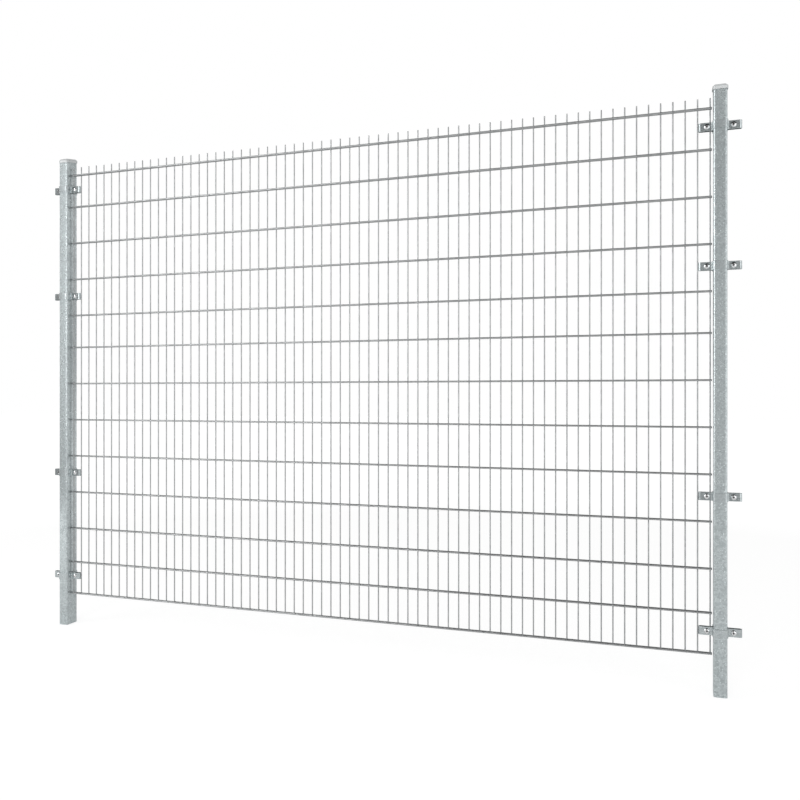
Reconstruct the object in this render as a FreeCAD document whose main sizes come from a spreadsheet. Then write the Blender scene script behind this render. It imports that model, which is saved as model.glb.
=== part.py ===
"""One bay of a twin wire mesh fence: a welded mesh panel held between two hollow posts by strap clamps.

The panel runs along X and is seen from -Y. Y is 0 at the middle of the upright wires and Z is 0 at the
feet of the posts. X is 0 in the middle of the left post's wall that faces the panel.
"""
import FreeCAD, Part
import os

import Sketcher

# Driving dimensions in millimetres, and the counts of what repeats
SIZES = {
    # Mesh panel
    "wire_count": 67,
    "wire_pitch": 50,
    "wire_diameter": 6,
    "rod_diameter": 8,
    "spike_length": 44,
    "rod_overhang": 7.5,
    "mesh_sections": 3,
    # Heights of the rows between the rods
    "bottom_rod_height": 170,
    "row_pitch": 200,
    "top_row": 175,
    "middle_row": 177,
    "lower_row": 187,
    "bottom_row": 172,
    # Posts
    "post_width": 55,
    "post_depth": 80,
    "post_wall": 3,
    "post_corner": 8,
    "post_rise": 34.5,
    "top_fall": 15.5,
    "end_gap": 12,
    # Post caps
    "cap_gap": 2.2,
    "cap_wall": 1.2,
    "cap_grip": 13,
    "cap_roof": 8.5,
    "crown_corner": 0.5,
    # Strap clamps
    "strap_height": 35,
    "strap_thickness": 3,
    "ear_bend": 4,
    "lip_bend": 6,
    "ear_gap": 14,
    "ear_clearance": 0.5,
    "lip_clearance": 0.5,
    "bottom_clamp_rise": 11,
    "lower_clamp_rise": 8,
    "upper_clamp_rise": 5.5,
    "top_clamp_rise": 8,
    "bolt_offset": 25,
    "bolt_hole": 10.5,
    # Gap between pieces that slip over each other
    "fit_clearance": 0.3,
}

# Rows from the ground up: the size that gives each one's height, and the name of the clamp that it holds
ROWS = [
    ("bottom_row", "bottom"),
    ("lower_row", None),
    ("row_pitch", None),
    ("row_pitch", "lower"),
    ("row_pitch", None),
    ("row_pitch", None),
    ("row_pitch", None),
    ("middle_row", None),
    ("row_pitch", "upper"),
    ("row_pitch", None),
    ("row_pitch", None),
    ("top_row", "top"),
]

# A square bar has the same section area as the round wire: half its thickness as a share of the diameter
BAR_HALF = "sqrt(pi) / 4"

# Length of the flat that touches a round bend or corner, along each of its sides, as a share of the radius
FLAT_SHARE = "(2 - sqrt(2))"

# Two points closer than this are the same corner
TOUCH = 1e-4

# Places along X
LEFT_FACE = "Sizes.post_wall / 2"
LEFT_AXIS = "(Sizes.post_wall - Sizes.post_width) / 2"
FIRST_WIRE = f"({LEFT_FACE} + Sizes.end_gap)"
LAST_WIRE = f"({FIRST_WIRE} + (Sizes.wire_count - 1) * Sizes.wire_pitch)"
RIGHT_AXIS = f"{LAST_WIRE} + Sizes.end_gap + Sizes.post_width / 2"

# Places across and up the panel
ROD_OFFSET = f"(Sizes.wire_diameter + Sizes.rod_diameter) * {BAR_HALF}"
WIRE_FOOT = f"(Sizes.bottom_rod_height - Sizes.rod_diameter * {BAR_HALF})"

doc = FreeCAD.newDocument("twin_wire_fence_bay")
sheet = doc.addObject("Spreadsheet::Sheet", "Sizes")
for line, (alias, number) in enumerate(SIZES.items(), start=1):
    sheet.set(f"A{line}", alias)
    sheet.set(f"B{line}", str(number))
    sheet.setAlias(f"B{line}", alias)
doc.recompute()


def measure(expression):
    """Number that an expression over the sheet stands for."""
    return float(sheet.evalExpression(expression))


def place(item, x="0", y="0", z="0", axis=None, angle=0):
    """Turn an object about an axis and bind its place to expressions."""
    if axis is not None:
        item.Placement = FreeCAD.Placement(FreeCAD.Vector(), FreeCAD.Rotation(axis, angle))
    item.setExpression("Placement.Base.x", x)
    item.setExpression("Placement.Base.y", y)
    item.setExpression("Placement.Base.z", z)


def rod_height(level):
    """Height of the middle of a rod, with the rods counted from the ground."""
    return " + ".join(["Sizes.bottom_rod_height"] + [f"Sizes.{row}" for row, clamp in ROWS[:level]])


# Tips of the uprights, and the tops of the posts, which fall from the back to the front
WIRE_TOP = f"({rod_height(len(ROWS))} + Sizes.spike_length)"
POST_FRONT = f"({WIRE_TOP} + Sizes.post_rise)"
POST_MIDDLE = f"({POST_FRONT} + Sizes.top_fall / 2)"
TOP_SLANT = "atan(Sizes.top_fall / Sizes.post_depth)"


def wire_place(index):
    """Place of an upright wire along X, with the wires counted from the left."""
    return f"{FIRST_WIRE} + {index} * Sizes.wire_pitch"


def square_bar(name, half, long_side, length):
    """Square bar that stands for a round wire, with half its thickness and the name of its long side."""
    bar = doc.addObject("Part::Box", name)
    for side in ("Length", "Width", "Height"):
        bar.setExpression(side, length if side == long_side else f"2 * {half}")
    return bar


def upright_wire(index):
    """Upright wire from the underside of the bottom rods to the tip of its spike."""
    half = f"Sizes.wire_diameter * {BAR_HALF}"
    bar = square_bar(f"wire_{index}", half, "Height", f"{WIRE_TOP} - {WIRE_FOOT}")
    place(bar, x=f"{wire_place(index)} - {half}", y=f"-{half}", z=WIRE_FOOT)
    return bar


def level_rod(name, level, start, end, offset):
    """Horizontal rod between two places along X, flat against the upright wires."""
    half = f"Sizes.rod_diameter * {BAR_HALF}"
    bar = square_bar(f"{name}_{level}", half, "Length", f"{end} - ({start})")
    place(bar, x=start, y=f"{offset} - {half}", z=f"{rod_height(level)} - {half}")
    return bar


def mesh_section(label, first, last, start, end):
    """Uprights from first to last, welded to the stretch of the front rods between start and end."""
    bars = [upright_wire(index) for index in range(first, last + 1)]
    for level in range(len(ROWS) + 1):
        bars.append(level_rod(f"{label}_rod", level, start, end, f"-{ROD_OFFSET}"))
    section = doc.addObject("Part::MultiFuse", label)
    section.Shapes = bars
    return section


def mesh_panel():
    """Mesh in sections whose rods meet midway between two uprights, and the rear rods in one length."""
    count = int(measure("Sizes.wire_count"))
    parts = int(measure("Sizes.mesh_sections"))
    left_end = f"{FIRST_WIRE} - Sizes.rod_overhang"
    right_end = f"{LAST_WIRE} + Sizes.rod_overhang"
    firsts = [round(part * count / parts) for part in range(parts + 1)]
    cuts = [left_end] + [wire_place(first - 0.5) for first in firsts[1:-1]] + [right_end]
    sections = []
    for part in range(parts):
        label = f"mesh_section_{part + 1}"
        sections.append(mesh_section(label, firsts[part], firsts[part + 1] - 1, cuts[part], cuts[part + 1]))
    rear = doc.addObject("Part::Compound", "rear_rods")
    rear.Links = [level_rod("rear_rod", level, left_end, right_end, ROD_OFFSET)
                  for level in range(len(ROWS) + 1)]
    return sections + [rear]


def new_sketch(body, name, role):
    """Empty sketch on one of the body's own planes."""
    sketch = body.newObject("Sketcher::SketchObject", name)
    plane = next(item for item in body.Origin.OriginFeatures if item.Role == role)
    sketch.AttachmentSupport = (plane, [""])
    sketch.MapMode = "FlatFace"
    return sketch


def level_sketch(body, name, height="0"):
    """Empty sketch on the body's level plane, raised by a height."""
    sketch = new_sketch(body, name, "XY_Plane")
    sketch.setExpression("AttachmentOffset.Base.z", height)
    return sketch


def slant_sketch(body, name, height):
    """Empty sketch raised by a height and tilted like the top of a post."""
    sketch = level_sketch(body, name, height)
    tilt = FreeCAD.Rotation(FreeCAD.Vector(1, 0, 0), measure(TOP_SLANT))
    sketch.AttachmentOffset = FreeCAD.Placement(FreeCAD.Vector(), tilt)
    sketch.setExpression("AttachmentOffset.Rotation.Angle", TOP_SLANT)
    return sketch


def dimension(sketch, name, expression, kind, *references):
    """Named dimension of a sketch, bound to an expression."""
    index = sketch.addConstraint(Sketcher.Constraint(kind, *references, measure(expression)))
    sketch.renameConstraint(index, name)
    sketch.setExpression(f"Constraints.{name}", expression)


def rounded_rectangle(sketch, name, width, depth, radius):
    """Rectangle with round corners about the sketch's origin: sides and corner arcs in turn."""
    half_x = measure(width) / 2
    half_y = measure(depth) / 2
    bend = measure(radius)
    first = sketch.GeometryCount
    corners = [(1, -1), (1, 1), (-1, 1), (-1, -1)]
    start = FreeCAD.Vector(bend - half_x, -half_y, 0)
    for turn, (side_x, side_y) in enumerate(corners):
        center = FreeCAD.Vector(side_x * (half_x - bend), side_y * (half_y - bend), 0)
        quarter = FreeCAD.Rotation(FreeCAD.Vector(0, 0, 1), 90 * turn)
        tangent_point = center + quarter.multVec(FreeCAD.Vector(0, -bend, 0))
        middle = center + quarter.multVec(FreeCAD.Vector(bend, -bend, 0).normalize() * bend)
        end = center + quarter.multVec(FreeCAD.Vector(bend, 0, 0))
        sketch.addGeometry(Part.LineSegment(start, tangent_point))
        sketch.addGeometry(Part.Arc(tangent_point, middle, end))
        start = end
    for side in range(0, 8, 2):
        line = first + side
        arc = line + 1
        following = first + (side + 2) % 8
        sketch.addConstraint(Sketcher.Constraint("Tangent", line, 2, arc, 1))
        sketch.addConstraint(Sketcher.Constraint("Tangent", arc, 2, following, 1))
        direction = "Horizontal" if side in (0, 4) else "Vertical"
        sketch.addConstraint(Sketcher.Constraint(direction, line))
    for arc in (first + 3, first + 5, first + 7):
        sketch.addConstraint(Sketcher.Constraint("Equal", first + 1, arc))
    sketch.addConstraint(Sketcher.Constraint("Symmetric", first + 1, 3, first + 5, 3, -1, 1))
    dimension(sketch, f"{name}_width", width, "DistanceX", first + 6, 1, first + 2, 1)
    dimension(sketch, f"{name}_depth", depth, "DistanceY", first, 1, first + 4, 1)
    dimension(sketch, f"{name}_corner", radius, "Radius", first + 1)


def pad(body, sketch, length):
    """Solid raised straight up from a sketch."""
    feature = body.newObject("PartDesign::Pad", "Pad")
    feature.Profile = sketch
    feature.UseCustomVector = True
    feature.Direction = FreeCAD.Vector(0, 0, 1)
    feature.AlongSketchNormal = False
    feature.setExpression("Length", length)
    doc.recompute()
    return feature


def slant_cut(body):
    """Cut that takes off all of a post above a slanting plane, from one depth before it to one behind."""
    sketch = new_sketch(body, "TopCut", "YZ_Plane")
    front = f"{POST_MIDDLE} - Sizes.top_fall"
    back = f"{POST_MIDDLE} + Sizes.top_fall"
    above = f"{POST_MIDDLE} + 3 * Sizes.top_fall"
    depth = measure("Sizes.post_depth")
    corners = [FreeCAD.Vector(-depth, measure(front), 0), FreeCAD.Vector(depth, measure(back), 0),
               FreeCAD.Vector(depth, measure(above), 0), FreeCAD.Vector(-depth, measure(above), 0)]
    for index in range(4):
        sketch.addGeometry(Part.LineSegment(corners[index], corners[(index + 1) % 4]))
    for index in range(4):
        sketch.addConstraint(Sketcher.Constraint("Coincident", index, 2, (index + 1) % 4, 1))
    for line, direction in ((1, "Vertical"), (2, "Horizontal"), (3, "Vertical")):
        sketch.addConstraint(Sketcher.Constraint(direction, line))
    dimension(sketch, "front_place", "Sizes.post_depth", "DistanceX", 0, 1, -1, 1)
    dimension(sketch, "back_place", "Sizes.post_depth", "DistanceX", -1, 1, 0, 2)
    dimension(sketch, "front_height", front, "DistanceY", -1, 1, 0, 1)
    dimension(sketch, "back_height", back, "DistanceY", -1, 1, 0, 2)
    dimension(sketch, "cut_height", above, "DistanceY", -1, 1, 2, 1)
    cut = body.newObject("PartDesign::Pocket", "TopCutOff")
    cut.Profile = sketch
    cut.SideType = "Symmetric"
    cut.Type = "ThroughAll"


def post(label, center):
    """Hollow post: a rectangular tube with round corners, open at the foot and cut aslant at the top."""
    body = doc.addObject("PartDesign::Body", label)
    sketch = level_sketch(body, "TubeSection")
    rounded_rectangle(sketch, "outside", "Sizes.post_width", "Sizes.post_depth", "Sizes.post_corner")
    rounded_rectangle(sketch, "inside", "Sizes.post_width - 2 * Sizes.post_wall",
                      "Sizes.post_depth - 2 * Sizes.post_wall", "Sizes.post_corner - Sizes.post_wall")
    pad(body, sketch, f"{POST_MIDDLE} + 2 * Sizes.top_fall")
    slant_cut(body)
    place(body, x=center)
    return body


def post_outline(sketch, name, growth):
    """Outline of a slanting cut through a post, grown on all sides, with a flat at each round corner."""
    width = f"Sizes.post_width + 2 * {growth}"
    depth = f"(Sizes.post_depth + 2 * {growth}) / cos({TOP_SLANT})"
    flat = f"{FLAT_SHARE} * (Sizes.post_corner + {growth})"
    half_x = measure(width) / 2
    half_y = measure(depth) / 2
    short_x = half_x - measure(flat)
    short_y = half_y - measure(flat)
    right = [(short_x, -half_y), (half_x, -short_y), (half_x, short_y), (short_x, half_y)]
    corners = [FreeCAD.Vector(x, y, 0) for x, y in right] + [FreeCAD.Vector(-x, -y, 0) for x, y in right]
    for index in range(8):
        sketch.addGeometry(Part.LineSegment(corners[index], corners[(index + 1) % 8]))
    for index in range(8):
        sketch.addConstraint(Sketcher.Constraint("Coincident", index, 2, (index + 1) % 8, 1))
    for index in range(4):
        sketch.addConstraint(Sketcher.Constraint("Symmetric", index, 1, index + 4, 1, -1, 1))
    sketch.addConstraint(Sketcher.Constraint("Vertical", 1))
    sketch.addConstraint(Sketcher.Constraint("Horizontal", 3))
    dimension(sketch, f"{name}_width", width, "DistanceX", 5, 1, 1, 1)
    dimension(sketch, f"{name}_depth", depth, "DistanceY", 0, 1, 3, 1)
    dimension(sketch, f"{name}_front_flat_x", flat, "DistanceX", 0, 1, 0, 2)
    dimension(sketch, f"{name}_front_flat_y", flat, "DistanceY", 0, 1, 0, 2)
    dimension(sketch, f"{name}_back_flat_x", flat, "DistanceX", 2, 2, 2, 1)
    dimension(sketch, f"{name}_back_flat_y", flat, "DistanceY", 2, 1, 2, 2)


def cap(label, center):
    """Cap on the slanting top of a post: a roof with bevelled edges and a thin upright skirt."""
    body = doc.addObject("PartDesign::Body", label)
    overhang = "(Sizes.cap_gap + Sizes.cap_wall)"

    skirt = slant_sketch(body, "SkirtOutline", "-Sizes.cap_grip")
    post_outline(skirt, "skirt", overhang)
    block = pad(body, skirt, "Sizes.cap_grip + Sizes.cap_roof")

    lean = measure("Sizes.top_fall / Sizes.post_depth")
    top = measure("Sizes.cap_roof")
    bevel = body.newObject("PartDesign::Chamfer", "Bevel")
    bevel.Base = (block, [f"Edge{number}" for number, edge in enumerate(block.Shape.Edges, start=1)
                          if all(abs(point.Z - lean * point.Y - top) < TOUCH for point in edge.Vertexes)])
    bevel.ChamferType = "Two distances"
    bevel.setExpression("Size", "Sizes.cap_roof")
    bevel.setExpression("Size2", f"Sizes.post_corner + {overhang} - Sizes.crown_corner")
    doc.recompute()

    socket = slant_sketch(body, "SocketOutline", "-Sizes.cap_grip")
    post_outline(socket, "socket", "Sizes.cap_gap")
    hollow = body.newObject("PartDesign::Pocket", "Socket")
    hollow.Profile = socket
    hollow.UseCustomVector = True
    hollow.Direction = FreeCAD.Vector(0, 0, 1)
    hollow.AlongSketchNormal = False
    hollow.setExpression("Length", "Sizes.cap_grip")
    place(body, x=center, z=POST_MIDDLE)
    return body


# Plan of half a clamp, from the middle of the post: half widths and distances in front of the panel
STRAP_INSIDE_X = "(Sizes.post_width / 2 + Sizes.fit_clearance)"
STRAP_OUTSIDE_X = f"({STRAP_INSIDE_X} + Sizes.strap_thickness)"
STRAP_INSIDE_Y = "(Sizes.post_depth / 2 + Sizes.fit_clearance)"
STRAP_OUTSIDE_Y = f"({STRAP_INSIDE_Y} + Sizes.strap_thickness)"
EAR_INSIDE_Y = "(Sizes.ear_gap / 2)"
EAR_OUTSIDE_Y = f"({EAR_INSIDE_Y} + Sizes.strap_thickness)"
EAR_REACH = f"(Sizes.end_gap + Sizes.wire_pitch - Sizes.wire_diameter * {BAR_HALF} - Sizes.ear_clearance)"
EAR_END_X = f"(Sizes.post_width / 2 + {EAR_REACH})"
LIP_INSIDE_X = f"({EAR_END_X} - Sizes.strap_thickness)"


# Outline of half a clamp in plan, as distances from the middle of the post: out along the right lip, the
# right ear and the front of the strap, then back along the inside
STRAP_OUTLINE = {
    "ear_end": (EAR_END_X, "Sizes.lip_clearance"),
    "ear_corner": (EAR_END_X, EAR_OUTSIDE_Y),
    "ear_bend": (STRAP_OUTSIDE_X, EAR_OUTSIDE_Y),
    "front_corner": (STRAP_OUTSIDE_X, STRAP_OUTSIDE_Y),
    "front_inside": (STRAP_INSIDE_X, STRAP_INSIDE_Y),
    "ear_inside": (STRAP_INSIDE_X, EAR_INSIDE_Y),
    "lip_inside": (LIP_INSIDE_X, EAR_INSIDE_Y),
    "lip_end": (LIP_INSIDE_X, "Sizes.lip_clearance"),
}

# Bends of the strap: the corner inside the bend, the one outside it and the inside radius
STRAP_BENDS = [
    ("front_inside", "front_corner", "Sizes.post_corner + Sizes.fit_clearance"),
    ("ear_bend", "ear_inside", "Sizes.ear_bend"),
    ("lip_inside", "ear_corner", "Sizes.lip_bend"),
]


def outline_point(name, side):
    """Corner of the strap's outline on the right (side 1) or on the left (side -1)."""
    across, ahead = STRAP_OUTLINE[name]
    return FreeCAD.Vector(side * measure(across), -measure(ahead), 0)


def strap_profile(sketch):
    """Hat-shaped outline of a bent strap, the same on the left as on the right."""
    names = list(STRAP_OUTLINE)
    outside = names[:4]
    inside = names[4:]
    turn = [(name, 1) for name in outside] + [(name, -1) for name in reversed(outside)]
    turn += [(name, -1) for name in reversed(inside)] + [(name, 1) for name in inside]
    points = [outline_point(name, side) for name, side in turn]
    count = len(points)
    line_from = {corner: index for index, corner in enumerate(turn)}
    for index in range(count):
        sketch.addGeometry(Part.LineSegment(points[index], points[(index + 1) % count]))
    inside_front = line_from["front_inside", -1]
    for index in range(count):
        sketch.addConstraint(Sketcher.Constraint("Coincident", index, 2, (index + 1) % count, 1))
        if index != inside_front:
            direction = "Horizontal" if index % 2 else "Vertical"
            sketch.addConstraint(Sketcher.Constraint(direction, index))
    for name in ("ear_end", "ear_bend", "front_inside", "lip_inside"):
        pair = (line_from[name, -1], 1, line_from[name, 1], 1)
        sketch.addConstraint(Sketcher.Constraint("Symmetric", *pair, -2))
        across = STRAP_OUTLINE[name][0]
        dimension(sketch, f"{name}_across", across, "DistanceX", -1, 1, line_from[name, 1], 1)
    for name in ("ear_end", "ear_bend", "front_corner", "front_inside", "lip_inside"):
        ahead = STRAP_OUTLINE[name][1]
        dimension(sketch, f"{name}_ahead", ahead, "DistanceY", line_from[name, 1], 1, -1, 1)


def fold(body, feature, name, radius):
    """Bend at both corners of a name, drawn as one flat at 45 degrees that touches the round bend."""
    places = [outline_point(name, side) for side in (1, -1)]
    chosen = []
    for number, edge in enumerate(feature.Shape.Edges, start=1):
        flat = [FreeCAD.Vector(vertex.X, vertex.Y, 0) for vertex in edge.Vertexes]
        for spot in places:
            if len(flat) == 2 and all(point.isEqual(spot, TOUCH) for point in flat):
                chosen.append(f"Edge{number}")
    bend = body.newObject("PartDesign::Chamfer", "Bend")
    bend.Base = (feature, chosen)
    bend.setExpression("Size", f"{FLAT_SHARE} * ({radius})")
    doc.recompute()
    return bend


def bolt_holes(body):
    """Square hole through each ear for the neck of a coach bolt."""
    sketch = new_sketch(body, "BoltHoles", "XZ_Plane")
    half = measure("Sizes.bolt_hole / 2")
    away = measure("Sizes.post_width / 2 + Sizes.bolt_offset")
    for number, side in enumerate((1, -1)):
        first = 4 * number
        near = side * away - half
        far = side * away + half
        corners = [FreeCAD.Vector(near, -half, 0), FreeCAD.Vector(far, -half, 0),
                   FreeCAD.Vector(far, half, 0), FreeCAD.Vector(near, half, 0)]
        for index in range(4):
            sketch.addGeometry(Part.LineSegment(corners[index], corners[(index + 1) % 4]))
        for index in range(4):
            line = first + index
            sketch.addConstraint(Sketcher.Constraint("Coincident", line, 2, first + (index + 1) % 4, 1))
            direction = "Vertical" if index % 2 else "Horizontal"
            sketch.addConstraint(Sketcher.Constraint(direction, line))
        dimension(sketch, f"hole_{number}_across", "Sizes.bolt_hole", "DistanceX", first, 1, first, 2)
        dimension(sketch, f"hole_{number}_up", "Sizes.bolt_hole", "DistanceY", first + 1, 1, first + 1, 2)
        dimension(sketch, f"hole_{number}_half", "Sizes.bolt_hole / 2", "DistanceY", first, 1, -1, 1)
        if side > 0:
            dimension(sketch, "right_hole_place",
                      "Sizes.post_width / 2 + Sizes.bolt_offset - Sizes.bolt_hole / 2",
                      "DistanceX", -1, 1, first, 1)
        else:
            dimension(sketch, "left_hole_place",
                      "Sizes.post_width / 2 + Sizes.bolt_offset + Sizes.bolt_hole / 2",
                      "DistanceX", first, 1, -1, 1)
    holes = body.newObject("PartDesign::Pocket", "Holes")
    holes.Profile = sketch
    holes.Reversed = True
    holes.Type = "ThroughAll"


def clamp_half(label, center, height, angle):
    """Half of a clamp: a strap bent round the front of a post, or turned to hold it from behind."""
    body = doc.addObject("PartDesign::Body", label)
    sketch = level_sketch(body, "StrapOutline", "-Sizes.strap_height / 2")
    strap_profile(sketch)
    feature = pad(body, sketch, "Sizes.strap_height")
    for inner, outer, radius in STRAP_BENDS:
        feature = fold(body, feature, inner, radius)
        feature = fold(body, feature, outer, f"{radius} + Sizes.strap_thickness")
    bolt_holes(body)
    place(body, x=center, z=height, axis=FreeCAD.Vector(0, 0, 1), angle=angle)
    return body


def clamps(side, center):
    """Four clamps of a post, each of a front half and the same piece turned to the back."""
    halves = []
    for level, (row, clamp) in enumerate(ROWS):
        if clamp:
            height = f"{rod_height(level)} + Sizes.{row} / 2 + Sizes.{clamp}_clamp_rise"
            halves.append(clamp_half(f"{side}_clamp_{clamp}_front", center, height, 0))
            halves.append(clamp_half(f"{side}_clamp_{clamp}_back", center, height, 180))
    return halves


def check(items):
    """Stop if an object of the document failed or a sub-part has no sound solid."""
    for item in doc.Objects:
        if "Invalid" in item.State or "Error" in item.State:
            raise RuntimeError(f"{item.Label} failed: {item.State}")
    for item in items:
        if item.Shape.isNull() or not item.Shape.isValid() or not item.Shape.Solids:
            raise RuntimeError(f"{item.Label} has no sound solid")


sub_parts = mesh_panel()
for side, center in (("left", LEFT_AXIS), ("right", RIGHT_AXIS)):
    sub_parts.append(post(f"{side}_post", center))
    sub_parts.append(cap(f"{side}_cap", center))
    sub_parts += clamps(side, center)
doc.recompute()
check(sub_parts)

os.makedirs("parts", exist_ok=True)
for item in sub_parts:
    item.Shape.exportStep(f"parts/{item.Label}.step")
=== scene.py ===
"""Looks of one bay of a twin wire mesh fence: welded wires, hollow posts, caps, strap clamps and bolts.

Lengths are in metres. The panel runs along X, its front faces -Y and Z is up.
"""
import math

import bpy
import numpy as np
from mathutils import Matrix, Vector


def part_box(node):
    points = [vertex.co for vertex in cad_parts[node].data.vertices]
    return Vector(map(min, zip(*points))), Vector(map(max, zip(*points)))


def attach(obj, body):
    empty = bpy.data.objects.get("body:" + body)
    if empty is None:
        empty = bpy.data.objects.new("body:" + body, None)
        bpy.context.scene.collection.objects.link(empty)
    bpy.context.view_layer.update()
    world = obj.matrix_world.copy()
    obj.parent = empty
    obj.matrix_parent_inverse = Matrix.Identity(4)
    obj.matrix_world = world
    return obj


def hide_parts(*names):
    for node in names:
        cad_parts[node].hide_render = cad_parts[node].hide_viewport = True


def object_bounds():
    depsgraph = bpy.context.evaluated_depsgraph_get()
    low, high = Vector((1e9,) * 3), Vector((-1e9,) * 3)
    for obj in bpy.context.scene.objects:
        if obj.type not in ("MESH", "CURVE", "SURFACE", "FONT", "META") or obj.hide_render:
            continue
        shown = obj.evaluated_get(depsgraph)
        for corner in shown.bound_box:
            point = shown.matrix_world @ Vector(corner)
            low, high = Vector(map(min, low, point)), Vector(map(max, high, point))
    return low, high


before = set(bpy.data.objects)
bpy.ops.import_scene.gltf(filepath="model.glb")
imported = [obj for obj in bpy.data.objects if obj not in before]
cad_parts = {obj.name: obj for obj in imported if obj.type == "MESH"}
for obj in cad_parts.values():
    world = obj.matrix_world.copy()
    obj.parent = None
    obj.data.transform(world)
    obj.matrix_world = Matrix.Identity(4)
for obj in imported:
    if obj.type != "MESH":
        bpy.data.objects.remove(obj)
cad_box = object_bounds()

MM = 0.001
TURN = 2 * math.pi
SHARP_ANGLE = math.radians(35)

# Mesh panel
WIRE_COUNT = 67
ROD_COUNT = 13
WIRE_RADIUS = 3 * MM
ROD_RADIUS = 4 * MM
ROD_OVERHANG = 7.5 * MM
CUT_EDGE = 0.6 * MM
WIRE_SIDES = 12
ROD_SIDES = 16
WELD_REACH = np.array([2.9, 1.5, 2.9]) * MM
WELD_SIDES = 8
WELD_RINGS = 4

# Posts and caps
POST_CORNER = 8 * MM
POST_WALL = 3 * MM
POST_EDGE = 0.5 * MM
TOP_FALL = 15.5 * MM
CORNER_STEPS = 10
CORNER_MARGIN = 0.6 * MM
SMALLEST_CORNER = 1 * MM
CAP_GAP = 2.2 * MM
CAP_WALL = 1.2 * MM
CAP_GRIP = 13 * MM
CAP_ROOF = 8.5 * MM
CAP_EDGE = 0.4 * MM
CROWN_BEVEL = 10.7 * MM
CROWN_RISE = 0.5 * MM

# Strap clamps
CLAMP_ROWS = ("bottom", "lower", "upper", "top")
STRAP_THICKNESS = 3 * MM
STRAP_EDGE = 0.7 * MM
STRAP_MARGIN = 0.4 * MM
EDGE_STEPS = 3
EAR_GAP = 14 * MM
EAR_BEND = 4 * MM
LIP_BEND = 6 * MM
FIT_CLEARANCE = 0.3 * MM
BEND_STEPS = 10

# Bolts of the clamps, with their washers and nuts
BOLT_OFFSET = 25 * MM
BOLT_SIDES = 36
BOLT_RADIUS = 5 * MM
BOLT_STICKS_OUT = 4 * MM
HEAD_RADIUS = 12.3 * MM
HEAD_HEIGHT = 6.5 * MM
HEAD_RIM = 0.9 * MM
HEAD_EDGE = 0.3 * MM
DOME_STEPS = 10
SOCKET_WIDTH = 7 * MM
SOCKET_MOUTH = 4.34 * MM
SOCKET_DEPTH = 4.5 * MM
# Depth below the socket's mouth where the painted shade in the socket starts
SOCKET_SHADE = 1.2 * MM
SOCKET_PLAY = 0.1 * MM
NECK_HALF = 5 * MM
NECK_CORNER = 6.25 * MM
NECK_LENGTH = 6 * MM
THREAD_PITCH = 1.5 * MM
THREAD_DEPTH = 0.8 * MM
THREAD_STEPS = 6
WASHER_RADIUS = 10 * MM
WASHER_THICKNESS = 2 * MM
WASHER_EDGE = 0.4 * MM
WASHER_PLAY = 0.25 * MM
NUT_WIDTH = 16 * MM
NUT_HEIGHT = 8 * MM
NUT_PLAY = 0.05 * MM
NUT_TRIM = 0.3
NUT_SLOPE = 0.5

# Noise of the materials
NOISE_DETAIL = 3.0
FINE_DETAIL = 2.0
NOISE_ROUGHNESS = 0.55

# Zinc coating: clouds are counted along a metre, and grain, wander and flecks against the crystals
CLOUD_SCALE = 14.0
CLOUD_DETAIL = 4.0
CLOUD_SHARE = 0.5
GRAIN_SCALE = 6.0
GRAIN_SHARE = 0.35
WANDER_SCALE = 2.2
WANDER_REACH = 0.5
FLECK_SCALE = 1.15
FLECK_EDGE = 0.08
FLECK_GAIN = 1.35
ZINC_METALLIC = 0.8
ZINC_RELIEF = 0.25
ZINC_RELIEF_DEPTH = 0.12 * MM

# Bolts, the painted socket shade and caps: smears, clouds and grain are counted along a metre
BOLT_SMEARS = 160.0
SOCKET_SHADE_SMEARS = 300.0
PLASTIC_CLOUDS = 40.0
PLASTIC_GRAIN = 1800.0
PLASTIC_RELIEF = 0.15
PLASTIC_RELIEF_DEPTH = 0.1 * MM

# Sockets of a node that mixes two colours, by number
MIX_FACTOR = 0
MIX_FIRST = 6
MIX_SECOND = 7
MIX_RESULT = 2

# Where the picture is taken from
CAMERA_PLACE = (3.1945, -3.714, 1.266)
CAMERA_YAW = math.radians(18.89)
CAMERA_LENS = 36.88
CAMERA_SENSOR = 36
CAMERA_SHIFT_UP = -0.00625

# Floor: its greys, and its lifts at a near and a far distance from the bay's middle for each kind of ray
FLOOR_REACH = 40
FLOOR_GREY = 0.86
FLOOR_GREY_SEEN = 0.4
FLOOR_NEAR = 4.8
FLOOR_FAR = 6.4
# The gloss lift is smaller near the bay: painted shade on the floor that only metal mirrors
FLOOR_LIFTS = {"Is Camera Ray": (0.785, 0.84), "Is Glossy Ray": (0.18, 0.55)}

# Surround: its light on the object at the horizon and overhead
LEVEL_LIGHT = 0.72
OVERHEAD_LIGHT = 0.32

# Level sheet over the bay that only gloss sees: its corners and its brightness
OVERHEAD_CORNERS = [(-50, -48, 25), (53, -48, 25), (53, 70, 25), (-50, 70, 25)]
OVERHEAD_BRIGHTNESS = 0.02

# Upright sheets that only gloss sees: where each one starts and ends, its heights and its brightness
UPRIGHT_SHEETS = {
    "front_flag": ((2.2, -5), (4.5, -5), 0, 3.1, 0.38),
    "front_upper_flag": ((2.2, -5), (4.5, -5), 3.1, 4.4, 0.24),
    "front_left_flag": ((-1.6, -5), (2.2, -5), 0, 4.4, 0.64),
    "back_flag": ((-12, 6), (2.6, 6), 1.4, 3.0, 0.05),
    "right_back_flag": ((3.8, 6), (5.8, 6), 1.0, 3.0, 0.22),
    "left_card": ((-6, -5.3), (-6, 4), 0.9, 5, 2.8),
    "right_front_card": ((4.6, -5), (9, -4.2), 0, 5, 1.45),
    "right_card": ((12, -6), (12, 4), 0, 5, 0.8),
    "left_front_card": ((-3.4, -4.9), (-1.0, -4.9), 0.9, 7.5, 4.4),
    "left_flag": ((-0.6, -1.05), (-0.6, 0.1), 0.55, 2.9, 0.28),
}

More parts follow.
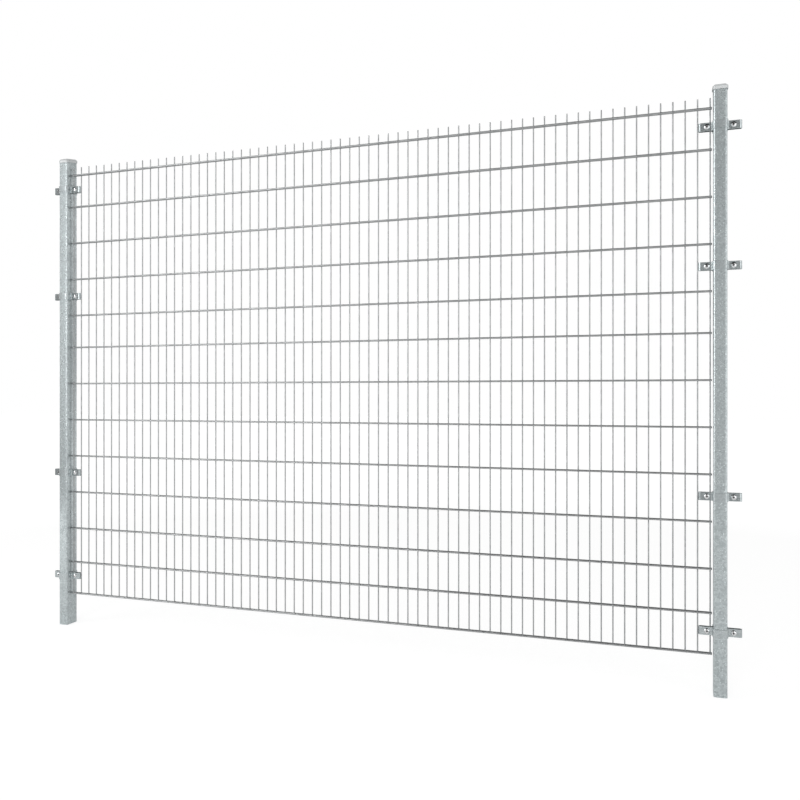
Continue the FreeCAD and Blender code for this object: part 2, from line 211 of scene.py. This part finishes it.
# Lamps: where each one stands, the point that it lights, its width and its power in watts
SOFT_LAMPS = {
    "left_front_lamp": ((-2.9, -3.3, 2.6), (0.5, 0, 1.4), 2.6, 40),
    "right_lamp": ((7.5, -2.5, 2.6), (2.5, 0, 1.3), 2.6, 20),
    "front_lamp": ((2.2, -9.0, 4.2), (1.7, 0, 1.3), 4.0, 190),
}


def node_points(node):
    """Corners of a frame node as an array."""
    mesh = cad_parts[node].data
    points = np.empty(3 * len(mesh.vertices))
    mesh.vertices.foreach_get("co", points)
    return points.reshape(-1, 3)


def middle(node):
    """Middle of a frame node's box."""
    low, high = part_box(node)
    return np.array((low + high) / 2)


def grid_faces(rows, columns, closed_rows=False):
    """Four-sided faces of a grid whose columns run round, and whose rows run round too where they close."""
    row = np.arange(rows if closed_rows else rows - 1)
    row, column = np.meshgrid(row, np.arange(columns), indexing="ij")
    next_row = (row + 1) % rows
    next_column = (column + 1) % columns
    corners = [row * columns + column, row * columns + next_column,
               next_row * columns + next_column, next_row * columns + column]
    return np.stack(corners, axis=-1).reshape(-1, 4)


def tube(grid):
    """Closed skin over a grid of rings: four-sided faces between the rings and one face over each end."""
    rows, columns = grid.shape[:2]
    ends = [np.arange(columns)[None, ::-1], (rows - 1) * columns + np.arange(columns)[None]]
    return grid.reshape(-1, 3), [grid_faces(rows, columns)] + ends


def ring(grid):
    """Closed skin over a grid that runs round both ways, as a tube's wall does."""
    rows, columns = grid.shape[:2]
    return grid.reshape(-1, 3), [grid_faces(rows, columns, closed_rows=True)]


def repeat(skin, places):
    """Copies of a skin, one at each place."""
    points, faces = skin
    copies = len(places)
    shift = len(points) * np.arange(copies)[:, None, None]
    moved = points[None] + np.asarray(places)[:, None]
    return moved.reshape(-1, 3), [(face[None] + shift).reshape(-1, face.shape[1]) for face in faces]


def join(*skins):
    """Several skins as one."""
    starts = np.cumsum([0] + [len(points) for points, _ in skins])
    faces = [face + start for start, (_, skin_faces) in zip(starts, skins) for face in skin_faces]
    return np.concatenate([points for points, _ in skins]), faces


def outward(skin):
    """The skin with its faces turned outwards: a skin that faces inwards encloses a negative volume."""
    points, faces = skin
    volume = 0
    for face in faces:
        first, second, third = points[face[:, 0]], points[face[:, 1:-1]], points[face[:, 2:]]
        volume += np.einsum("ni,nki->", first, np.cross(second, third))
    return points, faces if volume > 0 else [face[:, ::-1] for face in faces]


def piece(name, skin, material, slot, *nodes):
    """Object of a skin that rides on the bay, stands for the given nodes and has one material."""
    points, faces = outward(skin)
    mesh = bpy.data.meshes.new(name)
    mesh.from_pydata(points, [], [corners for face in faces for corners in face.tolist()])
    mesh.polygons.foreach_set("use_smooth", np.ones(len(mesh.polygons), bool))
    mesh.set_sharp_from_angle(angle=SHARP_ANGLE)
    mesh.materials.append(material)
    made = bpy.data.objects.new(name, mesh)
    bpy.context.scene.collection.objects.link(made)
    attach(made, "root")
    if nodes:
        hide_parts(*nodes)


def around(count):
    """Even angles round a circle."""
    return TURN * np.arange(count) / count


def round_bar(radius, start, end, sides, along, across, up):
    """Round bar along an axis: a circle carried from start to end and narrowed at both cuts."""
    reach = np.array([start, start + CUT_EDGE, end - CUT_EDGE, end])
    narrowed = np.array([radius - CUT_EDGE, radius, radius, radius - CUT_EDGE])
    angle = around(sides)
    circle = np.cos(angle)[:, None] * across + np.sin(angle)[:, None] * up
    return tube(reach[:, None, None] * along + narrowed[:, None, None] * circle[None])


def weld_beads(name, wire_x, rod_z, contact_y, material):
    """Bead at each crossing of a rod and an upright: a ball pressed to its own width, depth and height."""
    polar = np.linspace(0, TURN / 2, WELD_RINGS + 2)[1:-1, None]
    angle = around(WELD_SIDES)[None]
    width = np.sin(polar)
    ball = np.stack([width * np.cos(angle), np.cos(polar) + 0 * angle, width * np.sin(angle)], axis=-1)
    x, z = np.meshgrid(wire_x, rod_z, indexing="ij")
    places = np.column_stack([x.ravel(), np.full(x.size, contact_y), z.ravel()])
    piece(name, repeat(tube(ball * WELD_REACH), places), material, "galvanised_wire")


def mesh_panel(material):
    """Upright wires, front rods and rear rods as round bars, and the weld beads where they cross."""
    along_x, along_y, along_z = np.eye(3)
    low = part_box("mesh_section_1")[0]
    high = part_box("mesh_section_3")[1]
    wire_x = np.linspace(low.x + ROD_OVERHANG, high.x - ROD_OVERHANG, WIRE_COUNT)
    rod_z = np.sort(node_points("rear_rods")[:, 2]).reshape(ROD_COUNT, -1).mean(axis=1)
    rod_y = middle("rear_rods")[1]
    upright = round_bar(WIRE_RADIUS, low.z, high.z, WIRE_SIDES, along_z, along_x, along_y)
    piece("upright_wires", repeat(upright, wire_x[:, None] * along_x), material, "galvanised_wire",
          "mesh_section_1", "mesh_section_2", "mesh_section_3")
    rod = round_bar(ROD_RADIUS, low.x, high.x, ROD_SIDES, along_x, along_y, along_z)
    levels = rod_z[:, None] * along_z
    piece("front_level_rods", repeat(rod, levels - rod_y * along_y), material, "galvanised_wire")
    piece("rear_level_rods", repeat(rod, levels + rod_y * along_y), material, "galvanised_wire", "rear_rods")
    contact = rod_y * WIRE_RADIUS / (WIRE_RADIUS + ROD_RADIUS)
    weld_beads("front_weld_beads", wire_x, rod_z, -contact, material)
    weld_beads("rear_weld_beads", wire_x, rod_z, contact, material)


def rounded_outline(half_x, half_y, radius, steps, margin):
    """Rectangle with round corners: each corner is a quarter circle about its own centre.

    One more point lies on the straight side a margin before each quarter circle, and one a margin after it,
    so that the sides stay flat in the light.
    """
    share = np.concatenate([[0], np.arange(steps + 1) / steps, [1]])
    slide = np.concatenate([[-margin], np.zeros(steps + 1), [margin]])
    angle = (TURN / 4) * (np.arange(4)[:, None] + share[None])
    side_x = np.array([1, -1, -1, 1])[:, None]
    side_y = np.array([1, 1, -1, -1])[:, None]
    x = side_x * (half_x - radius) + radius * np.cos(angle) - slide * np.sin(angle)
    y = side_y * (half_y - radius) + radius * np.sin(angle) + slide * np.cos(angle)
    return np.stack([x, y], axis=-1).reshape(-1, 2)


def post_rings(side, section):
    """Rings round a post: its outline grown by each step of a section and set at that step's height.

    A step that slants follows the post's top: its height rises with Y as the top does.
    """
    low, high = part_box(f"{side}_post")
    half = (high - low) / 2
    center = middle(f"{side}_post")
    rise = TOP_FALL / (high.y - low.y)
    rings = []
    for growth, height, slant in section:
        corner = max(POST_CORNER + growth, SMALLEST_CORNER)
        outline = rounded_outline(half.x + growth, half.y + growth, corner, CORNER_STEPS, CORNER_MARGIN)
        rings.append(np.column_stack([outline + center[:2], height + slant * rise * outline[:, 1]]))
    return np.array(rings)


def post_seat(side):
    """Height of the middle of a post's slanting top."""
    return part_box(f"{side}_post")[1].z - TOP_FALL / 2


def post_tube(side, material):
    """Hollow post: its outline carried round the section of its wall, with the four cut edges broken."""
    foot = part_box(f"{side}_post")[0].z
    top = post_seat(side)
    section = [(0, foot + POST_EDGE, 0), (0, top - POST_EDGE, 1), (-POST_EDGE, top, 1),
               (POST_EDGE - POST_WALL, top, 1), (-POST_WALL, top - POST_EDGE, 1),
               (-POST_WALL, foot + POST_EDGE, 0), (POST_EDGE - POST_WALL, foot, 0), (-POST_EDGE, foot, 0)]
    skin = ring(post_rings(side, section))
    piece(f"{side}_hollow_post", skin, material, "galvanised_post", f"{side}_post")


def post_cap(side, material):
    """Cap: the post's outline carried up the skirt's inside, round its lip, up its outside and over the roof.

    From the roof's middle part the height falls as the square of the way out, and down the bevel it falls
    evenly. Points an edge apart lie beside the outer corners, so that the faces between stay flat in the
    light.
    """
    seat = post_seat(side)
    lip = seat - CAP_GRIP
    top = seat + CAP_ROOF
    overhang = CAP_GAP + CAP_WALL
    crown = overhang - CROWN_BEVEL
    roof = top - CROWN_RISE
    climb = (roof - seat) / CROWN_BEVEL
    section = [(-POST_WALL, seat), (CAP_GAP, seat), (CAP_GAP, lip + CAP_EDGE),
               (CAP_GAP + CAP_EDGE, lip), (overhang - CAP_EDGE, lip), (overhang, lip + CAP_EDGE),
               (overhang, lip + 2 * CAP_EDGE), (overhang, seat - 2 * CAP_EDGE), (overhang, seat - CAP_EDGE),
               (overhang - CAP_EDGE, seat + climb * CAP_EDGE),
               (overhang - 2 * CAP_EDGE, seat + 2 * climb * CAP_EDGE),
               (crown + 2 * CAP_EDGE, roof - 2 * climb * CAP_EDGE),
               (crown + CAP_EDGE, roof - climb * CAP_EDGE),
               (crown - CAP_EDGE, roof), (crown - 2 * CAP_EDGE, roof),
               (crown - CROWN_BEVEL / 2, top - CROWN_RISE / 4), (crown - CROWN_BEVEL, top)]
    slanting = [(growth, height, 1) for growth, height in section]
    skin = tube(post_rings(side, slanting))
    piece(f"{side}_post_cap", skin, material, "grey_plastic", f"{side}_cap")


def bent_path(corners, radii):
    """Line with round bends, and its direction at each point.

    A bend starts at radius times tan(turn / 2) before its corner. Its points are the start turned evenly
    about the bend's centre, which lies a radius to the side of the start.
    """
    run = np.diff(corners, axis=0)
    heading = run / np.linalg.norm(run, axis=1)[:, None]
    before, after = heading[:-1], heading[1:]
    left = np.stack([-before[:, 1], before[:, 0]], axis=-1)
    turn = np.arctan2((left * after).sum(1), (before * after).sum(1))
    start = corners[1:-1] - before * (radii * np.tan(np.abs(turn) / 2))[:, None]
    center = start + left * (radii * np.sign(turn))[:, None]
    angle = turn[:, None] * np.arange(BEND_STEPS + 1) / BEND_STEPS
    cosine, sine = np.cos(angle)[..., None], np.sin(angle)[..., None]

    def turned(vector):
        """Each bend's vector turned by the bend's angles."""
        quarter = np.stack([-vector[:, 1], vector[:, 0]], axis=-1)
        return cosine * vector[:, None] + sine * quarter[:, None]

    points = (center[:, None] + turned(start - center)).reshape(-1, 2)
    headings = turned(before).reshape(-1, 2)
    return np.vstack([corners[:1], points, corners[-1:]]), np.vstack([heading[:1], headings, heading[-1:]])


def strap_half(side, row, half, material):
    """Half of a clamp: a flat bar's section with broken edges, carried along the bent line in its middle."""
    node = f"{side}_clamp_{row}_{half}"
    low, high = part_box(node)
    post_low, post_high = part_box(f"{side}_post")
    center = middle(node)
    way = -1 if half == "front" else 1
    depth = STRAP_THICKNESS / 2
    ear_end = (high.x - low.x) / 2 - depth
    side_x = (post_high.x - post_low.x) / 2 + FIT_CLEARANCE + depth
    tip_y = min(abs(low.y), abs(high.y))
    ear_y = EAR_GAP / 2 + depth
    front_y = max(abs(low.y), abs(high.y)) - depth
    right = np.array([(ear_end, tip_y), (ear_end, ear_y), (side_x, ear_y), (side_x, front_y)])
    corners = np.vstack([right, right[::-1] * (-1, 1)]) * (1, way)
    bends = np.array([LIP_BEND, EAR_BEND, POST_CORNER + FIT_CLEARANCE]) + depth
    points, headings = bent_path(corners, np.concatenate([bends, bends[::-1]]))
    section = rounded_outline(depth, (high.z - low.z) / 2, STRAP_EDGE, EDGE_STEPS, STRAP_MARGIN)
    across = np.column_stack([-headings[:, 1], headings[:, 0]])
    flat = points[:, None] + across[:, None] * section[None, :, :1] + center[:2] * (1, 0)
    height = np.broadcast_to(section[None, :, 1:] + center[2], flat.shape[:2] + (1,))
    skin = tube(np.concatenate([flat, height], axis=-1))
    piece(f"{side}_{row}_{half}_strap", skin, material, "galvanised_strap", node)


def hexagon(angle, width):
    """Distance from a hexagon's middle to its edge: half its width over the cosine from the nearest flat."""
    return width / 2 / np.cos((angle + TURN / 12) % (TURN / 6) - TURN / 12)


def turned_rings(radius, reach):
    """Rings about an axis along Y: a radius for each step and angle, at that step's reach."""
    angle = around(BOLT_SIDES)
    radius = np.broadcast_to(np.asarray(radius), (len(reach), BOLT_SIDES))
    along = np.broadcast_to(np.asarray(reach)[:, None], radius.shape)
    return np.stack([radius * np.cos(angle), along, radius * np.sin(angle)], axis=-1)


def constant(values):
    """The same radius all the way round, for each of the values."""
    return np.repeat(np.asarray(values, float)[:, None], BOLT_SIDES, axis=1)


def dome(slope):
    """Distances and reaches of a bolt's domed cap, half an ellipse turned about the axis.

    The distance goes as the sine of the angle from the axis, and the height as its cosine.
    """
    return HEAD_RADIUS * np.sin(slope), -HEAD_RIM - (HEAD_HEIGHT - HEAD_RIM) * np.cos(slope)


def socket_slope():
    """Angle from the axis at which a bolt's domed cap meets the mouth of its socket."""
    return math.asin(SOCKET_MOUTH / HEAD_RADIUS)


def clamp_bolt(grip):
    """Domed bolt through a grip along +Y: a hexagon socket, a domed cap, a square neck and a screw thread.

    The neck is a square whose corners are cut by a circle. The thread's radius falls and rises with the
    distance along it less its share of the turn.
    """
    angle = around(BOLT_SIDES)
    dome_radius, dome_reach = dome(np.linspace(socket_slope(), TURN / 4, DOME_STEPS))
    socket = np.repeat(hexagon(angle, SOCKET_WIDTH)[None], 2, axis=0)
    square = NECK_HALF / np.maximum(np.abs(np.cos(angle)), np.abs(np.sin(angle)))
    neck = np.repeat(np.minimum(square, NECK_CORNER)[None], 2, axis=0)
    end = grip + WASHER_THICKNESS + NUT_HEIGHT + BOLT_STICKS_OUT
    thread_start = grip + WASHER_THICKNESS + NUT_HEIGHT / 2
    thread_end = end - THREAD_PITCH / 2
    thread_reach = np.arange(thread_start, thread_end, THREAD_PITCH / THREAD_STEPS)
    phase = (thread_reach[:, None] / THREAD_PITCH - angle[None] / TURN) % 1
    thread = BOLT_RADIUS - THREAD_DEPTH * np.abs(2 * phase - 1)
    radius = np.concatenate([
        socket, constant(dome_radius), constant([HEAD_RADIUS, HEAD_RADIUS - HEAD_EDGE]), neck,
        constant([BOLT_RADIUS]), thread,
        constant([BOLT_RADIUS - THREAD_DEPTH, BOLT_RADIUS - 2 * THREAD_DEPTH])])
    reach = np.concatenate([
        [dome_reach[0] + SOCKET_DEPTH, dome_reach[0] + SOCKET_PLAY], dome_reach, [-HEAD_EDGE, 0],
        [0, NECK_LENGTH], [NECK_LENGTH], thread_reach, [thread_end, end]])
    return tube(turned_rings(radius, reach))


def socket_shade_hexagon():
    """Painted shade in a bolt's socket: a dark hexagon carried along +Y, a little narrower than the socket.
    """
    mouth = dome(socket_slope())[1]
    outline = np.repeat(hexagon(around(BOLT_SIDES), SOCKET_WIDTH - SOCKET_PLAY)[None], 2, axis=0)
    return tube(turned_rings(outline, [mouth + SOCKET_SHADE, mouth + SOCKET_DEPTH - SOCKET_PLAY]))


def washer(start):
    """Flat washer: a ring's section with broken edges turned about the bolt."""
    end = start + WASHER_THICKNESS
    bore = BOLT_RADIUS + WASHER_PLAY
    broken = WASHER_RADIUS - WASHER_EDGE
    radius = [bore, broken, WASHER_RADIUS, WASHER_RADIUS, broken, bore]
    reach = [start, start, start + WASHER_EDGE, end - WASHER_EDGE, end, end]
    return ring(turned_rings(constant(radius), reach))


def nut(start):
    """Hexagon nut: the smaller of the hexagon and the cones that trim its corners, turned about the bolt.

    The cones are measured in shares of the distance by which the corners stand out beyond the flats.
    """
    flat = NUT_WIDTH / 2
    corner = flat / math.cos(TURN / 12)
    trim = NUT_TRIM * (corner - flat)
    slope = NUT_SLOPE * (corner - flat)
    end = start + NUT_HEIGHT
    bore = BOLT_RADIUS + NUT_PLAY
    cone = np.array([flat - trim, flat + trim, corner, corner, flat + trim, flat - trim])
    outside = np.minimum(hexagon(around(BOLT_SIDES), NUT_WIDTH)[None], cone[:, None])
    reach = [start, start + slope / 2, start + 2 * slope, end - 2 * slope, end - slope / 2, end, end, start]
    return ring(turned_rings(np.vstack([outside, constant([bore, bore])]), reach))


def clamp_bolts(side, row, material, socket_shade_material):
    """Two bolts of a clamp with their washers and nuts, one through each pair of ears, and the painted shade
    in their sockets.
    """
    low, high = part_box(f"{side}_post")
    center = middle(f"{side}_clamp_{row}_front")
    away = (high.x - low.x) / 2 + BOLT_OFFSET
    face = EAR_GAP / 2 + STRAP_THICKNESS
    grip = 2 * face
    bolt = join(clamp_bolt(grip), washer(grip), nut(grip + WASHER_THICKNESS))
    places = np.array([(center[0] + way * away, -face, center[2]) for way in (-1, 1)])
    piece(f"{side}_{row}_bolts", repeat(bolt, places), material, "galvanised_strap")
    # Near-black hexagons in the sockets are painted shade
    piece(f"{side}_{row}_painted_socket_shades", repeat(socket_shade_hexagon(), places), socket_shade_material, "galvanised_strap")


def shader_tree(name):
    """New material and its node tree, with the shader's own node."""
    material = bpy.data.materials.new(name)
    material.use_nodes = True
    tree = material.node_tree
    return material, tree, tree.nodes["Principled BSDF"]


def add_node(tree, kind, **settings):
    """New node with its settings."""
    made = tree.nodes.new(kind)
    for name, value in settings.items():
        setattr(made, name, value)
    return made


def grey(level):
    """Colour of one grey."""
    return level, level, level, 1.0


def own_place(tree):
    """Place of each point in the object's own coordinates."""
    return add_node(tree, "ShaderNodeTexCoord").outputs["Object"]


def noise(tree, place, scale, detail=NOISE_DETAIL):
    """Cloudy pattern of a size: the scale is in clouds a metre."""
    made = add_node(tree, "ShaderNodeTexNoise")
    made.inputs["Scale"].default_value = scale
    made.inputs["Detail"].default_value = detail
    made.inputs["Roughness"].default_value = NOISE_ROUGHNESS
    tree.links.new(place, made.inputs["Vector"])
    return made.outputs["Fac"]


def ramp(tree, value, *stops):
    """Colours set along a value: each stop is a place and a grey or a colour."""
    made = add_node(tree, "ShaderNodeValToRGB")
    for element, (position, colour) in zip(made.color_ramp.elements, stops):
        element.position = position
        element.color = (*colour, 1.0) if isinstance(colour, tuple) else grey(colour)
    tree.links.new(value, made.inputs["Fac"])
    return made.outputs["Color"]


def blend(tree, kind, factor, first, second):
    """Two colours mixed; the factor and the colours may be fixed or other nodes' values."""
    made = add_node(tree, "ShaderNodeMix", data_type="RGBA", blend_type=kind)
    for number, value in ((MIX_FACTOR, factor), (MIX_FIRST, first), (MIX_SECOND, second)):
        if isinstance(value, (float, tuple)):
            made.inputs[number].default_value = value
        else:
            tree.links.new(value, made.inputs[number])
    return made.outputs[MIX_RESULT]


def worked_out(tree, operation, *values, clamped=False):
    """Result of an operation on one or two other nodes' values."""
    made = add_node(tree, "ShaderNodeMath", operation=operation, use_clamp=clamped)
    for socket, value in zip(made.inputs, values):
        tree.links.new(value, socket)
    return made.outputs[0]


def carried_over(tree, value, start, end, first, last):
    """Value between start and end carried over to the stretch from first to last, and held beyond it."""
    made = add_node(tree, "ShaderNodeMapRange")
    for name, number in (("From Min", start), ("From Max", end), ("To Min", first), ("To Max", last)):
        made.inputs[name].default_value = number
    tree.links.new(value, made.inputs["Value"])
    return made.outputs["Result"]


def relief(tree, shader, height, strength, depth):
    """Fine relief of a shader's surface that follows a pattern."""
    bump = add_node(tree, "ShaderNodeBump")
    bump.inputs["Strength"].default_value = strength
    bump.inputs["Distance"].default_value = depth
    tree.links.new(height, bump.inputs["Height"])
    tree.links.new(bump.outputs["Normal"], shader.inputs["Normal"])


def wavy_place(tree, place, crystals):
    """Place shifted by a fine noise, so that the crystals' edges wander by up to half a crystal."""
    wander = add_node(tree, "ShaderNodeTexNoise")
    wander.inputs["Scale"].default_value = WANDER_SCALE * crystals
    tree.links.new(place, wander.inputs["Vector"])
    shift = add_node(tree, "ShaderNodeVectorMath", operation="MULTIPLY_ADD")
    tree.links.new(wander.outputs["Color"], shift.inputs[0])
    shift.inputs[1].default_value = (WANDER_REACH / crystals,) * 3
    tree.links.new(place, shift.inputs[2])
    return shift.outputs[0]


def spangle_cells(tree, place, scale):
    """A grey for each zinc crystal, taken from cells whose size is one over the scale."""
    cells = add_node(tree, "ShaderNodeTexVoronoi", feature="F1")
    cells.inputs["Scale"].default_value = scale
    cells.inputs["Randomness"].default_value = 1.0
    tree.links.new(place, cells.inputs["Vector"])
    split = add_node(tree, "ShaderNodeSeparateColor")
    tree.links.new(cells.outputs["Color"], split.inputs["Color"])
    return split.outputs[0]


def ear_shine(tree, place, shine, ear_rough):
    """Shine of a strap whose ears, which lie near the panel's middle plane, have a rough of their own."""
    split = add_node(tree, "ShaderNodeSeparateXYZ")
    tree.links.new(place, split.inputs[0])
    away = worked_out(tree, "ABSOLUTE", split.outputs["Y"])
    on_post = carried_over(tree, away, EAR_GAP, 2 * EAR_GAP, 0.0, 1.0)
    return blend(tree, "MIX", on_post, grey(ear_rough), shine)


def galvanised_steel(name, dark, pale, crystals, fleck_start, rough, shine_spread, ear_rough=None):
    """Hot-dip zinc: crystals of several greys under soft clouds, a rough that follows them, and pale flecks.

    The crystals are counted along a metre.
    """
    material, tree, shader = shader_tree(name)
    place = own_place(tree)
    cells = spangle_cells(tree, wavy_place(tree, place, crystals), crystals)
    clouds = noise(tree, place, CLOUD_SCALE, CLOUD_DETAIL)
    grain = noise(tree, place, GRAIN_SCALE * crystals, FINE_DETAIL)
    tone = blend(tree, "MIX", CLOUD_SHARE, cells, clouds)
    tone = blend(tree, "OVERLAY", GRAIN_SHARE, tone, grain)
    colour = ramp(tree, tone, (0.25, dark), (0.75, pale))
    spots = noise(tree, place, FLECK_SCALE * crystals, FINE_DETAIL)
    flecks = ramp(tree, spots, (fleck_start, 0.0), (fleck_start + FLECK_EDGE, 1.0))
    fleck_colour = tuple(min(1.0, FLECK_GAIN * part) for part in pale) + (1.0,)
    tree.links.new(blend(tree, "MIX", flecks, colour, fleck_colour), shader.inputs["Base Color"])
    shine = ramp(tree, tone, (0.2, rough + shine_spread), (0.8, rough - shine_spread))
    if ear_rough:
        shine = ear_shine(tree, place, shine, ear_rough)
    tree.links.new(shine, shader.inputs["Roughness"])
    shader.inputs["Metallic"].default_value = ZINC_METALLIC
    relief(tree, shader, tone, ZINC_RELIEF, ZINC_RELIEF_DEPTH)
    return material


def zinc_plated(name):
    """Bright plated bolts: nearly even, with faint smears in the shine."""
    material, tree, shader = shader_tree(name)
    smears = noise(tree, own_place(tree), BOLT_SMEARS)
    colour = ramp(tree, smears, (0.3, (0.74, 0.75, 0.76)), (0.7, (0.86, 0.87, 0.88)))
    tree.links.new(colour, shader.inputs["Base Color"])
    tree.links.new(ramp(tree, smears, (0.3, 0.13), (0.7, 0.06)), shader.inputs["Roughness"])
    shader.inputs["Metallic"].default_value = 1.0
    return material


def painted_shade_material(name):
    """Painted shade for the bottom of each bolt's socket: a dull near-black with faint smears, standing in
    for the shade deep in the socket.
    """
    material, tree, shader = shader_tree(name)
    smears = noise(tree, own_place(tree), SOCKET_SHADE_SMEARS)
    tree.links.new(ramp(tree, smears, (0.3, 0.02), (0.7, 0.05)), shader.inputs["Base Color"])
    shader.inputs["Roughness"].default_value = 0.7
    return material


def moulded_plastic(name):
    """Light grey plastic: a fine even grain and faint clouds of grey."""
    material, tree, shader = shader_tree(name)
    place = own_place(tree)
    clouds = noise(tree, place, PLASTIC_CLOUDS)
    grain = noise(tree, place, PLASTIC_GRAIN, FINE_DETAIL)
    colour = ramp(tree, clouds, (0.3, (0.72, 0.745, 0.75)), (0.7, (0.78, 0.805, 0.81)))
    tree.links.new(colour, shader.inputs["Base Color"])
    tree.links.new(ramp(tree, grain, (0.3, 0.52), (0.7, 0.42)), shader.inputs["Roughness"])
    relief(tree, shader, grain, PLASTIC_RELIEF, PLASTIC_RELIEF_DEPTH)
    return material


def seen_directly(tree):
    """1 for rays from the eye, from gloss and through glass, and 0 for the rest."""
    path = add_node(tree, "ShaderNodeLightPath")
    total = path.outputs["Is Camera Ray"]
    for kind in ("Is Glossy Ray", "Is Transmission Ray"):
        total = worked_out(tree, "ADD", total, path.outputs[kind], clamped=True)
    return total


def studio_world():
    """White surround: full white where it is seen, and a softer light on the object that fades overhead."""
    world = bpy.data.worlds.new("white_surround")
    bpy.context.scene.world = world
    world.use_nodes = True
    tree = world.node_tree
    background = tree.nodes["Background"]
    background.inputs["Color"].default_value = grey(1.0)
    split = add_node(tree, "ShaderNodeSeparateXYZ")
    tree.links.new(add_node(tree, "ShaderNodeTexCoord").outputs["Generated"], split.inputs[0])
    soft = carried_over(tree, split.outputs["Z"], 0.0, 1.0, LEVEL_LIGHT, OVERHEAD_LIGHT)
    level = add_node(tree, "ShaderNodeMix", data_type="FLOAT")
    tree.links.new(seen_directly(tree), level.inputs["Factor"])
    tree.links.new(soft, level.inputs["A"])
    level.inputs["B"].default_value = 1.0
    tree.links.new(level.outputs["Result"], background.inputs["Strength"])


def stage_sheet(name, corners, material):
    """Flat four-cornered sheet of the studio."""
    mesh = bpy.data.meshes.new(name)
    mesh.from_pydata(corners, [], [(0, 1, 2, 3)])
    mesh.materials.append(material)
    made = bpy.data.objects.new(name, mesh)
    bpy.context.scene.collection.objects.link(made)
    return made


def studio_floor():
    """Pale floor that keeps the shadow near the bay and runs out into the white surround.

    The eye sees a greyer floor with a lift of its own, and gloss sees the floor with a smaller one. Both
    lifts grow with the distance from the bay's middle.
    """
    material, tree, shader = shader_tree("pale_floor")
    shader.inputs["Roughness"].default_value = 0.9
    shader.inputs["Specular IOR Level"].default_value = 0.0
    shader.inputs["Emission Color"].default_value = grey(1.0)
    path = add_node(tree, "ShaderNodeLightPath")
    colour = blend(tree, "MIX", path.outputs["Is Camera Ray"], grey(FLOOR_GREY), grey(FLOOR_GREY_SEEN))
    tree.links.new(colour, shader.inputs["Base Color"])
    away = add_node(tree, "ShaderNodeVectorMath", operation="DISTANCE")
    tree.links.new(own_place(tree), away.inputs[0])
    away.inputs[1].default_value = ((cad_box[0][0] + cad_box[1][0]) / 2, 0, 0)
    # Lifts are painted light on the floor; the smaller gloss lift near the bay is painted shade in
    # reflections
    lifts = []
    for ray, (near_lift, far_lift) in FLOOR_LIFTS.items():
        lift = carried_over(tree, away.outputs["Value"], FLOOR_NEAR, FLOOR_FAR, near_lift, far_lift)
        lifts.append(worked_out(tree, "MULTIPLY", path.outputs[ray], lift))
    tree.links.new(worked_out(tree, "ADD", *lifts), shader.inputs["Emission Strength"])
    ways = ((-1, -1), (1, -1), (1, 1), (-1, 1))
    corners = [(x * FLOOR_REACH, y * FLOOR_REACH, 0) for x, y in ways]
    stage_sheet("studio_floor", corners, material)


def gloss_sheet(name, corners, brightness):
    """Sheet that only gloss sees: metal mirrors a dim one as a dark flag and a bright one as a lit card."""
    material, _, shader = shader_tree(name)
    shader.inputs["Base Color"].default_value = grey(0.0)
    shader.inputs["Specular IOR Level"].default_value = 0.0
    shader.inputs["Emission Color"].default_value = grey(brightness)
    shader.inputs["Emission Strength"].default_value = 1.0
    sheet = stage_sheet(name, corners, material)
    sheet.visible_camera = False
    sheet.visible_diffuse = False
    sheet.visible_shadow = False
    sheet.visible_transmission = False


def upright_corners(start, end, low, high):
    """Corners of an upright sheet over a straight line on the floor."""
    return [(*start, low), (*end, low), (*end, high), (*start, high)]


def soft_lamp(name, place, target, width, power):
    """Square lamp turned towards a point; neither the eye nor gloss sees the lamp itself."""
    lamp = bpy.data.lights.new(name, "AREA")
    lamp.shape = "SQUARE"
    lamp.size = width
    lamp.energy = power
    made = bpy.data.objects.new(name, lamp)
    made.location = place
    made.rotation_euler = (Vector(target) - Vector(place)).to_track_quat("-Z", "Y").to_euler()
    made.visible_camera = False
    made.visible_glossy = False
    bpy.context.scene.collection.objects.link(made)


def camera():
    """Camera at the place of the picture, level and turned to the left."""
    lens = bpy.data.cameras.new("picture_camera")
    lens.lens = CAMERA_LENS
    lens.sensor_width = CAMERA_SENSOR
    lens.shift_y = CAMERA_SHIFT_UP
    made = bpy.data.objects.new("picture_camera", lens)
    made.location = CAMERA_PLACE
    made.rotation_euler = (TURN / 4, 0, CAMERA_YAW)
    bpy.context.scene.collection.objects.link(made)
    bpy.context.scene.camera = made


wire_zinc = galvanised_steel("wire_zinc", dark=(0.405, 0.415, 0.42), pale=(0.49, 0.50, 0.505),
                             crystals=60.0, fleck_start=0.72, rough=0.42, shine_spread=0.04)
post_zinc = galvanised_steel("post_zinc", dark=(0.47, 0.52, 0.53), pale=(0.66, 0.72, 0.73),
                             crystals=140.0, fleck_start=0.62, rough=0.31, shine_spread=0.05)
strap_zinc = galvanised_steel("strap_zinc", dark=(0.48, 0.525, 0.535), pale=(0.60, 0.65, 0.66),
                              crystals=140.0, fleck_start=0.64, rough=0.31, shine_spread=0.05, ear_rough=0.12)
bolt_zinc = zinc_plated("bolt_zinc")
# Near-black paint in the bolts' sockets that stands in for their shade
socket_painted_shade = painted_shade_material("socket_painted_shade")
cap_plastic = moulded_plastic("cap_plastic")

mesh_panel(wire_zinc)
for side in ("left", "right"):
    post_tube(side, post_zinc)
    post_cap(side, cap_plastic)
    for row in CLAMP_ROWS:
        strap_half(side, row, "front", strap_zinc)
        strap_half(side, row, "back", strap_zinc)
        clamp_bolts(side, row, bolt_zinc, socket_painted_shade)

studio_world()
studio_floor()
gloss_sheet("overhead_flag", OVERHEAD_CORNERS, OVERHEAD_BRIGHTNESS)
for name, (start, end, low, high, brightness) in UPRIGHT_SHEETS.items():
    gloss_sheet(name, upright_corners(start, end, low, high), brightness)
for name, (place, target, width, power) in SOFT_LAMPS.items():
    soft_lamp(name, place, target, width, power)
camera()
bpy.context.scene.view_settings.view_transform = "Standard"
